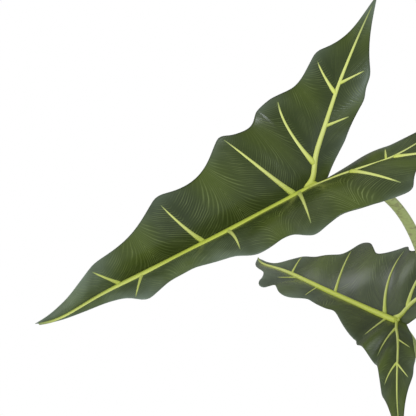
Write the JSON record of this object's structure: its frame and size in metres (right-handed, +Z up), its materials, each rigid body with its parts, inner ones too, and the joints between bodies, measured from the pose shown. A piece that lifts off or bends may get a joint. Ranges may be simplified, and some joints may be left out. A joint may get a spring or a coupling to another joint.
{
  "type": "potted alocasia plant",
  "caption": "Potted aroid plant: long arrow-shaped leaves with waved margins and pale raised ribs, on arching stalks in a plain round terracotta pot.",
  "frame": {"origin": "middle of the pot's flat underside", "axes": "+Z up the pot's axis; -Y towards the side that the picture is taken from"},
  "size_m": [0.9425, 0.8347, 0.9888],
  "materials": {
    "blade": "satin",
    "rib": "satin",
    "stalk": "satin",
    "pot": "matte",
    "soil": "matte"
  },
  "bodies": {
    "root": {"blade_1": "blade", "ribs_1": "rib", "stalk_1": "stalk", "blade_2": "blade", "ribs_2": "rib", "stalk_2": "stalk", "blade_3": "blade", "ribs_3": "rib", "stalk_3": "stalk", "blade_4": "blade", "ribs_4": "rib", "stalk_4": "stalk", "blade_5": "blade", "ribs_5": "rib", "stalk_5": "stalk", "blade_6": "blade", "ribs_6": "rib", "stalk_6": "stalk", "blade_7": "blade", "ribs_7": "rib", "stalk_7": "stalk", "pot": "pot", "soil": "soil"}
  },
  "joints": []
}
